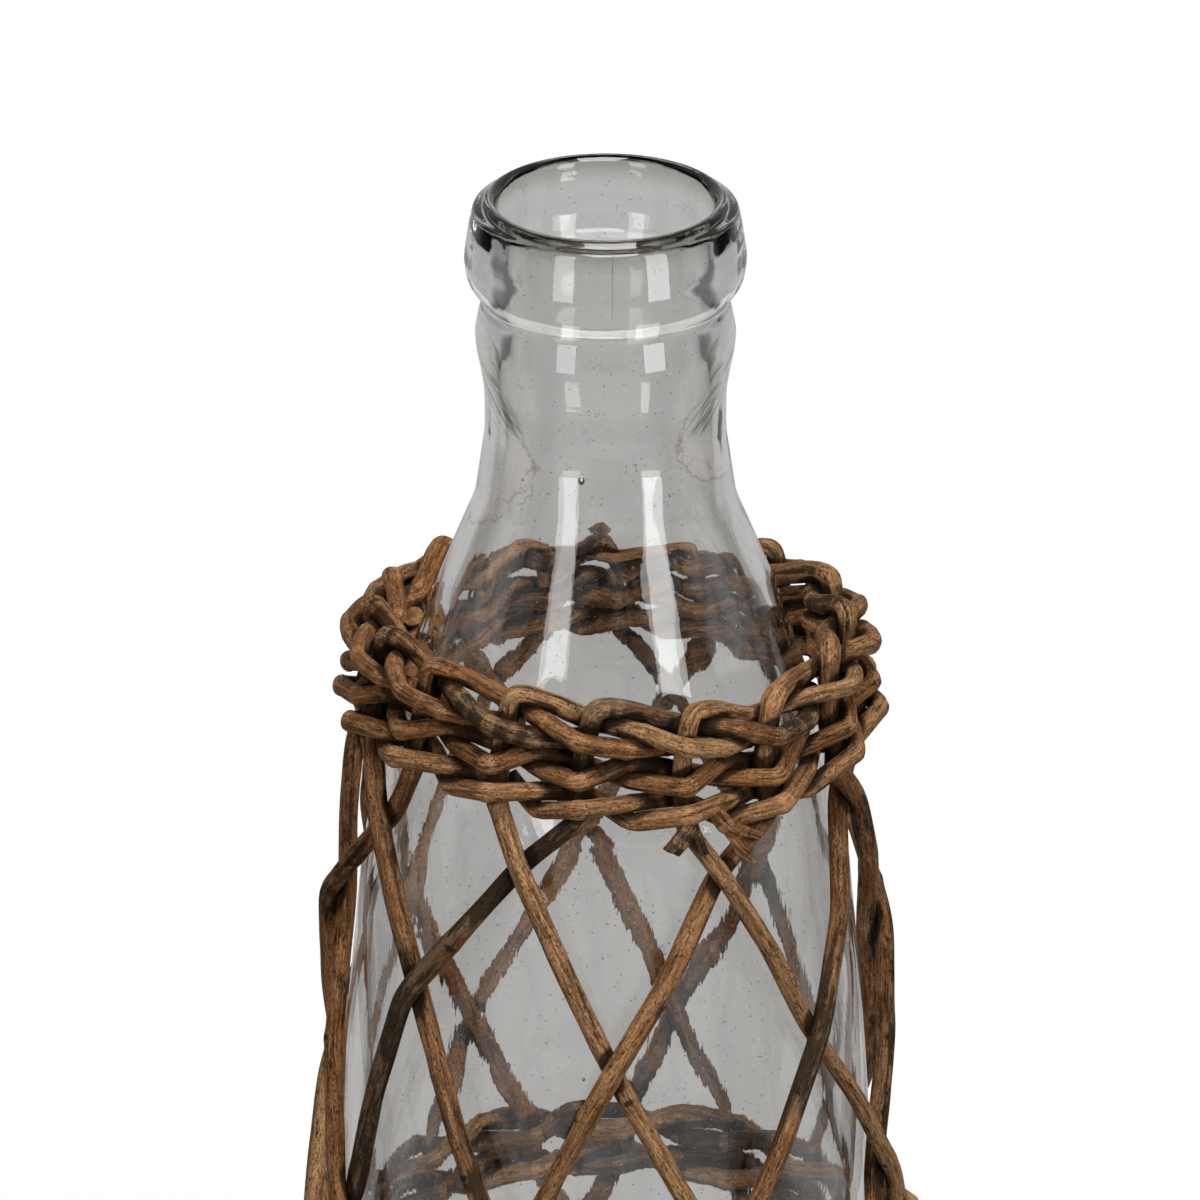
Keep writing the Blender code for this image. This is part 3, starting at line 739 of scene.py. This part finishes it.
# Light, middle, deep, grey and cut colours
willow = willowMaterial(
    "willow_bark", (0.478, 0.266, 0.127, 1), (0.232, 0.108, 0.044, 1),
    (0.032, 0.012, 0.004, 1), (0.150, 0.106, 0.068, 1), (0.50, 0.25, 0.11, 1))
stickWillow = willowMaterial(
    "willow_base_stick", (0.500, 0.290, 0.142, 1), (0.250, 0.124, 0.052, 1),
    (0.050, 0.022, 0.008, 1), (0.170, 0.124, 0.083, 1), (0.40, 0.26, 0.14, 1))
splitWillow = willowMaterial(
    "willow_split", (0.560, 0.270, 0.125, 1), (0.420, 0.170, 0.072, 1),
    (0.120, 0.050, 0.020, 1), (0.300, 0.180, 0.110, 1), (0.62, 0.32, 0.16, 1))


# Marks on the glass, in metres: height above the ground, distance aside of the middle. A
# step goes from 0 at its first value to 1 at its second.
marks = {
    "front": (0.0, 0.004), "rimTint": (0.3370, 0.3435),
    "seamAcross": 0.0015, "seamFoot": (0.3262, 0.3300), "seamTop": (0.3400, 0.3420),
    "seamWander": 0.0002, "seamWidth": (0.00006, 0.00022),
    "filmLevel": 0.289, "filmSlant": 0.18, "filmAside": 0.0158, "filmBow": 60,
    "filmRagged": 0.009, "filmFade": (0.004, 0.014), "tideWidth": (0.0001, 0.0005),
    "mossLevel": 0.1614, "mossMiddle": 0.0010, "mossWidth": (0.0012, 0.0046),
    "mossStart": (0.2450, 0.2485), "mossEnd": (0.2630, 0.2710), "hammered": (0.284, 0.300),
}


# The clear glass of the bottle: greyer through the lip, with faint smears, dust specks, the
# mould's seam, water marks and mossy strokes on the neck, and the ripples of a blown wall.
# Shadow rays pass through it, so that light reaches the rods behind.
def glassMaterial():
    material, flow, shader, output = newMaterial("bottle_glass")
    spot = flow.node("ShaderNodeTexCoord", {}, {}, 3)
    parts = flow.node("ShaderNodeSeparateXYZ", {}, {"Vector": spot})
    across, depth, level = (parts.beside(axis) for axis in "XYZ")
    front = (0 - depth).step(*marks["front"])
    wide = across.size()

    smears = spot.stretch((45, 45, 18)).noise(1.0, 4.0, 0.6, 0.8)
    clear = smears.step(0.35, 0.75).mix((0.905, 0.900, 0.890, 1), (0.865, 0.860, 0.850, 1))
    clear = level.step(*marks["rimTint"]).mix(clear, (0.50, 0.52, 0.45, 1))

    # Water marks: a milky film beyond a bowed line on each side, with a brown edge
    ragged = spot.stretch((190, 190, 190)).noise(1.0, 4.0, 0.6)
    bowed = level - marks["filmLevel"] - marks["filmSlant"] * across
    edge = wide - marks["filmAside"] - marks["filmBow"] * bowed * bowed
    edge = edge + marks["filmRagged"] * (ragged - 0.5)
    film = front * edge.step(0.0, 0.0006) * (1 - edge.step(*marks["filmFade"]))
    tide = (1 - (edge - 0.0002).size().step(*marks["tideWidth"])) * ragged.step(0.36, 0.50)
    clear = (0.85 * film).mix(clear, (1.0, 0.97, 0.94, 1))
    clear = (0.70 * front * tide).mix(clear, (0.45, 0.33, 0.21, 1))

    # Moss: olive strokes along a line that rises away from the middle, 3 across to 4 up
    slope = 0.80 * wide - 0.60 * level + marks["mossLevel"]
    run = 0.60 * wide + 0.80 * level
    strokes = flow.node("ShaderNodeCombineXYZ", {},
                        {0: 1500 * slope, 1: 130 * run, 2: 40 * across})
    strokes = strokes.noise(1.0, 3.0, 0.6).step(0.40, 0.62)
    moss = 1 - (slope - marks["mossMiddle"]).size().step(*marks["mossWidth"])
    moss = moss * run.step(*marks["mossStart"]) * (1 - run.step(*marks["mossEnd"]))
    clear = (0.95 * front * moss * strokes).mix(clear, (0.150, 0.170, 0.100, 1))

    # The mould's seam on the ring, and dust
    wander = marks["seamWander"] * (spot.stretch((0, 0, 320)).noise(1.0, 2.0, 0.5) - 0.5)
    seam = (across - marks["seamAcross"] + wander).size()
    seam = front * (1 - seam.step(*marks["seamWidth"]))
    seam = seam * level.step(*marks["seamFoot"]) * (1 - level.step(*marks["seamTop"]))
    seam = seam * spot.stretch((0, 0, 420), (3, 3, 0)).noise(1.0, 2.0, 0.6).step(0.36, 0.52)
    clear = (0.5 * seam).mix(clear, (0.10, 0.095, 0.09, 1))
    dust = spot.stretch((520, 520, 520)).cells()
    rare = spot.stretch((190, 190, 190)).noise(1.0, 1.0, 0.5)
    specks = (1 - dust.step(0.07, 0.14)) * rare.step(0.47, 0.53)
    feed((0.85 * specks).mix(clear, (0.06, 0.055, 0.05, 1)), shader, "Base Color")
    feed(0.003 + 0.015 * smears.step(0.55, 0.85) + 0.3 * specks, shader, "Roughness")

    upright = spot.stretch((230, 230, 60)).noise(1.0, 3.0, 0.55, 0.5)
    ringed = spot.stretch((70, 70, 620)).noise(1.0, 3.0, 0.65)
    ringed = (0.03 + 0.40 * level.step(*marks["hammered"])) * ringed
    rippled = flow.node("ShaderNodeBump", {}, {"Strength": 0.22, "Distance": 0.00012,
                                               "Height": upright + ringed - 0.6 * seam})
    feed(rippled, shader, "Normal")
    shader.inputs["Transmission Weight"].default_value = 1
    shader.inputs["IOR"].default_value = 1.5
    shadow = flow.node("ShaderNodeLightPath", {}, {}, 1)
    passing = flow.node("ShaderNodeBsdfTransparent", {}, {"Color": (1.0, 0.99, 0.98, 1)})
    mixed = flow.node("ShaderNodeMixShader", {},
                      {0: shadow, 1: Flow(flow.tree, shader.outputs[0]), 2: passing})
    feed(mixed, output, "Surface")
    tint = flow.node("ShaderNodeVolumeAbsorption", {},
                     {"Color": (0.42, 0.45, 0.41, 1), "Density": 16})
    feed(tint, output, "Volume")
    return material


# A bubble of air in the wall: centre + size * (sin down * cos turn, sin down * sin turn,
# tall * cos down), with its faces towards the air inside
def bubble(centre, size, rings=9, sides=14, tall=1.3):
    down = np.arange(1, rings + 1)[:, None] * math.pi / (rings + 1)
    turn = np.arange(sides)[None, :] * 2 * math.pi / sides
    grid = np.stack([np.sin(down) * np.cos(turn), np.sin(down) * np.sin(turn),
                     tall * np.cos(down) + 0 * turn], -1)
    poles = [[0, 0, tall], [0, 0, -tall]]
    points = np.concatenate([grid.reshape(-1, 3), poles]) * size + centre
    return points, ringFaces(rings, sides), poleFans(rings, sides)


# The bottle is one turned skin: radius and height of a smooth outline, carried round by the
# angle, with its walls rippled by sines, the inside most, to bend light as blown glass does
def makeBottle(material):
    inner = innerOutline()
    outer = outerOutline()
    spacing = bottle["spacing"]
    outline = evenly(np.concatenate([inner, outer]), spacing)
    outline = rounded(outline, bottle["rounding"], spacing)
    outline[0, 0] = 0
    outline[-1, 0] = 0

    # Keeps points closer together in the neck than in the body
    fine = outline[:, 1] > bottle["rimHeight"] - bottle["neckFootDepth"] - bottle["fineBelowNeck"]
    kept = np.where(fine, bottle["neckSpacing"], bottle["bodySpacing"])
    counts = np.arange(1, spacing * np.sum(1 / kept))
    outline = outline[np.unique(np.searchsorted(np.cumsum(spacing / kept), counts))]
    poles = np.array([[0, 0, inner[0, 1]], [0, 0, outer[-1, 1]]])
    rings, sides = len(outline), bottle["sides"]
    angles = np.arange(sides) * 2 * math.pi / sides
    radius = outline[:, 0][:, None] * np.ones((1, sides))
    height = outline[:, 1][:, None] * np.ones((1, sides))
    lip = int(np.argmax(outline[:, 1]))
    inside = np.clip((lip - np.arange(rings)) / bottle["lipFadeRings"], 0, 1)[:, None]
    fade = np.clip(outline[:, 0] / bottle["poleFade"], 0, 1)[:, None]
    wave = 0
    for index, (waves, upright, start, strength) in enumerate(bottle["ripples"]):
        rise = np.sin(height * upright + start)
        wave = wave + strength * swell(angles, waves, seeds["glass"] + index)[None, :] * rise
    depth = bottle["outsideShare"] + (1 - bottle["outsideShare"]) * inside
    radius = radius + fade * depth * bottle["rippleDepth"] * wave
    grid = np.stack([radius * np.sin(angles), -radius * np.cos(angles), height], -1)
    points = np.concatenate([grid.reshape(-1, 3), poles])
    quads = [ringFaces(rings, sides)[:, ::-1]]
    fans = [poleFans(rings, sides)[:, ::-1]]
    points = [points]
    for degrees, level, size in bottle["bubbles"]:
        middle = glassRadius(level) - bottle["bodyWall"] / 2
        turned = math.radians(degrees)
        first = sum(len(part) for part in points)
        centre = np.array([middle * math.sin(turned), -middle * math.cos(turned), level])
        ball, ballQuads, ballFans = bubble(centre, size)
        points.append(ball)
        quads.append(ballQuads + first)
        fans.append(ballFans + first)
    makePiece("glass_body", np.concatenate(points), np.concatenate(quads), np.concatenate(fans),
              material, ["glass_bottle"])


makeBottle(glassMaterial())
print("bottle: turned")

# Every rod of the basket: its name, its path, then what makeRod is given with them
rods = []


def planRod(label, path, radius, seed, material=willow, **more):
    rods.append((label, path, radius, seed, material, more))


# A woven rod: its corners are rounded by a bell as wide as bend
def planWoven(label, route, bend, radius, seed, **more):
    path = rounded(evenly(route, basket["spacing"]), bend, basket["spacing"])
    planRod(label, path, radius, seed, **more)


# Stakes keep tight corners in the collar and at the foot, and bend softly between them
for number in range(basket["stakes"]):
    route = evenly(stakePath(number), basket["spacing"])
    tight = rounded(route, skin["tightBend"], basket["spacing"])
    loose = rounded(route, skin["looseBend"], basket["spacing"])
    level = route[:, 2][:, None]
    share = (np.clip((level - skin["tightAbove"]) / skin["tightFade"], 0, 1)
             + np.clip((skin["tightBelow"] - level) / skin["tightFade"], 0, 1))
    spread = 1 + skin["stakeSpread"] * math.sin(number * skin["stakeTurn"])
    planRod(f"stake_{number + 1:02d}", loose + share * (tight - loose),
            (basket["stakeRadius"] + skin["extraRadius"]) * spread,
            seeds["stake"] + number, knots=3)
for band in ("collar", "waist", "foot"):
    rows = basket[band + "Rows"]
    for row in range(len(rows)):
        for strand in range(basket["rowWeavers"]):
            planWoven(f"{band}_row_{row + 1}_weaver_{strand + 1}", weaverPath(rows, row, strand),
                      skin["weaverBend"], basket["weaverRadius"] + skin["extraRadius"],
                      seeds["band"] + len(rods) * seeds["bandStep"], knots=3)
for layer in range(2):
    for number in range(basket["sticksPerLayer"]):
        planWoven(f"base_stick_{layer * basket['sticksPerLayer'] + number + 1}",
                  stickPath(layer, number), skin["stickBend"], basket["stickRadius"],
                  seeds["stick"] + layer * seeds["layerStep"] + number, knots=1,
                  material=stickWillow, slotName="base_stick")
for strand in range(basket["rowWeavers"]):
    planWoven(f"base_inner_weaver_{strand + 1}",
              baseWeaverPath(basket["innerRowRadius"], stickLevel, basket["stickRadius"],
                             lambda spoke: spoke + 0.5, strand),
              skin["baseWeaverBend"], basket["baseWeaverRadius"],
              seeds["innerWeaver"] + strand, knots=1)
    planWoven(f"base_outer_weaver_{strand + 1}",
              baseWeaverPath(basket["outerRowRadius"], stakeLevel, basket["stakeRadius"],
                             bandTurn, strand),
              skin["baseWeaverBend"], basket["baseWeaverRadius"],
              seeds["outerWeaver"] + strand, knots=1)
for label, path, radius, seed, material, more in rods:
    # Points of the other rods, for the painted shade between rods
    others = np.concatenate([other[1][::3] for other in rods if other[0] != label])
    makeRod("rod_" + label, path, radius, seed, material, nodes=[label], others=others, **more)
print("basket: " + str(len(rods)) + " rods")

# Torn ends under the collar at the third stake: a broken stub and strips of split willow.
# Each is its radius, how flat it is, and a path of turn, radius and height
splinters = {
    "stub": (0.0021, 0.85, ((2.06, 0.0612, 0.2165), (2.00, 0.0626, 0.2136),
                            (1.92, 0.0630, 0.2110), (1.85, 0.0624, 0.2086))),
    "dark_strip": (0.0011, 0.4, ((2.07, 0.0605, 0.2150), (2.09, 0.0622, 0.2120),
                                 (2.18, 0.0618, 0.2062))),
    "wide_strip": (0.0021, 0.35, ((2.30, 0.0612, 0.2160), (2.38, 0.0626, 0.2130),
                                  (2.54, 0.0628, 0.2104), (2.72, 0.0622, 0.2082))),
    "torn_fibre": (0.0012, 0.5, ((2.40, 0.0600, 0.2125), (2.47, 0.0618, 0.2092),
                                 (2.62, 0.0628, 0.2056))),
    "thin_strip": (0.0007, 0.6, ((2.46, 0.0600, 0.2105), (2.54, 0.0608, 0.2052),
                                 (2.72, 0.0610, 0.2014))),
}
for index, (name, (radius, flatness, route)) in enumerate(splinters.items()):
    path = evenly([place(*spot) for spot in route], skin["splinterSpacing"])
    path = rounded(path, skin["splinterBend"], skin["splinterSpacing"])
    makeRod("splinter_" + name, path, radius, seeds["splinter"] + index,
            splitWillow if name == "torn_fibre" else willow, flatness=flatness)
print("splinters: " + str(len(splinters)))

# Studio: a pale floor that stays white behind the object and keeps its shadow, two tall
# softboxes in front, one overhead, a weak one behind and a dim room. Lamps give their place,
# width, height and power, and boxes their degrees round from the camera, distance and height
# in the place's stead. Steps are as in the marks on the glass.
studio = {
    "floorRadius": 30.0, "floorSides": 96, "floorTone": 0.15, "cloudTone": 0.985,
    "floorLift": 0.86, "floorFar": 0.20, "farSteps": (0.1, 2.0),
    "glassWhite": 0.49, "darkSides": 0.97, "roomTone": 0.03,
    "floorSide": (0.68, 0.88), "floorWindow": (0.955, 0.985), "floorNear": (0.25, 0.50),
    "roomSide": (0.62, 0.82), "roomWindow": (0.92, 0.97),
    "whiteWay": (0.0, 0.55, -0.85), "whiteSteps": (-0.75, -0.35), "bounces": 48,
    "elevation": 23.26, "target": (-0.001265, 0.0, 0.2448), "distance": 4.0,
    "frameWidth": 0.276, "sensorWidth": 36,
    "boxes": (("left", -34, 1.7, 0.80, 0.50, 1.56, 12.0),
              ("right", 43, 1.7, 0.86, 0.54, 1.68, 19.5)),
    "lamps": (("top", (0.1, -0.65, 1.9), 0.9, 0.9, 27.0),
              ("back", (-0.2, 1.6, 2.1), 1.2, 0.6, 12.0)),
    "lampTarget": (0, 0, 0.2),
}


# The floor is a plain pale one for light that reaches it. What the camera and the glass see of
# it glows too: floorLift + floorFar * away, dimmer in the glass, and dark there to each side.
def makeFloor():
    material, flow, shader, output = newMaterial("floor_pale")
    tone = studio["floorTone"]
    spot = flow.node("ShaderNodeTexCoord", {}, {}, 3)
    paper = spot.noise(3.0, 2.0, 0.5).mix(grey(tone), grey(tone * studio["cloudTone"]))
    feed(paper, shader, "Base Color")
    shader.inputs["Roughness"].default_value = 0.9
    shader.inputs["Specular IOR Level"].default_value = 0.1
    camera = flow.node("ShaderNodeLightPath", {}, {}, "Is Camera Ray")
    seen = camera + camera.beside("Is Glossy Ray") + camera.beside("Is Transmission Ray")
    first = (1 - camera.beside("Diffuse Depth")).step(0.0, 1.0)
    reach = flow.node("ShaderNodeVectorMath", {"operation": "LENGTH"}, {0: spot}, 1)
    parts = flow.node("ShaderNodeSeparateXYZ", {}, {"Vector": spot})
    aside = parts.beside("X").size() / reach
    dark = aside.step(*studio["floorSide"]) * (1 - aside.step(*studio["floorWindow"]))
    dark = dark * reach.step(*studio["floorNear"]) * (1 - camera)
    lift = studio["floorLift"] + studio["floorFar"] * reach.step(*studio["farSteps"])
    lift = lift * (studio["glassWhite"] + (1 - studio["glassWhite"]) * camera)
    glow = flow.node("ShaderNodeEmission", {}, {"Color": grey(1), "Strength": lift})
    plain = Flow(flow.tree, shader.outputs[0])
    lifted = flow.node("ShaderNodeAddShader", {}, {0: plain, 1: glow})
    share = seen.step(0.0, 1.0) * first * (1 - studio["darkSides"] * dark)
    mixed = flow.node("ShaderNodeMixShader", {}, {0: share, 1: plain, 2: lifted})
    feed(mixed, output, "Surface")
    sides = studio["floorSides"]
    angles = np.arange(sides) * 2 * math.pi / sides
    ring = np.stack([np.cos(angles), np.sin(angles), 0 * angles], 1) * studio["floorRadius"]
    mesh = bpy.data.meshes.new("floor")
    mesh.from_pydata(np.concatenate([ring, [[0, 0, 0]]]).tolist(), [],
                     fanFaces(0, sides, sides, True).tolist())
    mesh.materials.append(material)
    floor = bpy.data.objects.new("floor", mesh)
    bpy.context.scene.collection.objects.link(floor)


def aim(thing, target):
    way = thing.location - type(thing.location)(target)
    thing.rotation_euler = way.to_track_quat("Z", "Y").to_euler()


def makeLamp(name, location, width, height, power, target):
    data = bpy.data.lights.new("softbox_" + name, "AREA")
    data.shape = "RECTANGLE"
    data.size = width
    data.size_y = height
    data.energy = power
    lamp = bpy.data.objects.new("softbox_" + name, data)
    bpy.context.scene.collection.objects.link(lamp)
    lamp.location = location
    aim(lamp, target)


makeFloor()
for name, degrees, distance, height, *rest in studio["boxes"]:
    angle = math.radians(degrees)
    makeLamp(name, (distance * math.sin(angle), -distance * math.cos(angle), height),
             *rest, (0, 0, height))
for name, location, *rest in studio["lamps"]:
    makeLamp(name, location, *rest, studio["lampTarget"])

# The room is dim as a light. It looks white itself. What glass shows of it is grey low down
# and behind the object, where whiteWay * way is high, and dark overhead, in front and about
# 45 to 70 degrees to each side of the back.
world = bpy.data.worlds.new("room")
world.use_nodes = True
room = Flow(world.node_tree)
seen = room.node("ShaderNodeLightPath", {}, {}, "Is Camera Ray")
first = (1 - seen.beside("Diffuse Depth")).step(0.0, 1.0)
way = room.node("ShaderNodeTexCoord", {}, {}, 0)
facing = room.node("ShaderNodeVectorMath", {"operation": "DOT_PRODUCT"},
                   {0: way, 1: studio["whiteWay"]}, 1)
sideways = room.node("ShaderNodeSeparateXYZ", {}, {"Vector": way}).size()
sideways = sideways.step(*studio["roomSide"]) * (1 - sideways.step(*studio["roomWindow"]))
shown = seen.beside("Is Glossy Ray") + seen.beside("Is Transmission Ray")
shown = shown * facing.step(*studio["whiteSteps"]) * (1 - studio["darkSides"] * sideways)
share = seen + studio["glassWhite"] * first * shown
feed(share.mix(grey(studio["roomTone"]), grey(1)), world.node_tree.nodes["Background"], "Color")
bpy.context.scene.world = world

camera = bpy.data.objects.new("camera", bpy.data.cameras.new("camera"))
bpy.context.scene.collection.objects.link(camera)
tilt = math.radians(studio["elevation"])
target = studio["target"]
camera.location = (target[0], target[1] - studio["distance"] * math.cos(tilt),
                   target[2] + studio["distance"] * math.sin(tilt))
aim(camera, target)
camera.data.sensor_width = studio["sensorWidth"]
camera.data.lens = studio["sensorWidth"] * studio["distance"] / studio["frameWidth"]
camera.data.clip_end = 100
bpy.context.scene.camera = camera
# Light runs far inside the thick lip and the walls before it leaves the glass
for kind in ("max", "glossy", "transmission"):
    setattr(bpy.context.scene.cycles, kind + "_bounces", studio["bounces"])
bpy.context.scene.view_settings.view_transform = "Standard"
print("studio: lit")
